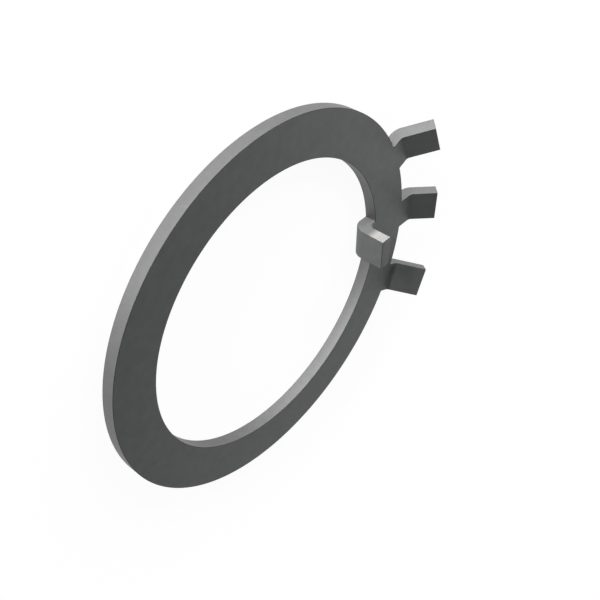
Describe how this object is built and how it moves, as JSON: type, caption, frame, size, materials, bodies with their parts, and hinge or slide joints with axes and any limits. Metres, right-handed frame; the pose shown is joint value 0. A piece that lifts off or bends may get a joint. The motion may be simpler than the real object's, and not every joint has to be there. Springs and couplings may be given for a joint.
{
  "type": "lock washer",
  "caption": "Flat pressed-steel ring washer with an inner tab for a shaft's keyway and outer tabs bent up to lock a slotted round nut.",
  "frame": {"origin": "on the bore's axis, in the plane of the back face that the washer lies on", "axes": "+Z along the bore's axis out of the front face, the way the tabs are bent; +X along the inner tab and the middle outer tab"},
  "size_m": [0.0508, 0.0454, 0.0047],
  "materials": {
    "steel": "dark satin steel"
  },
  "bodies": {
    "root": {"lock_washer": "steel"}
  },
  "joints": []
}
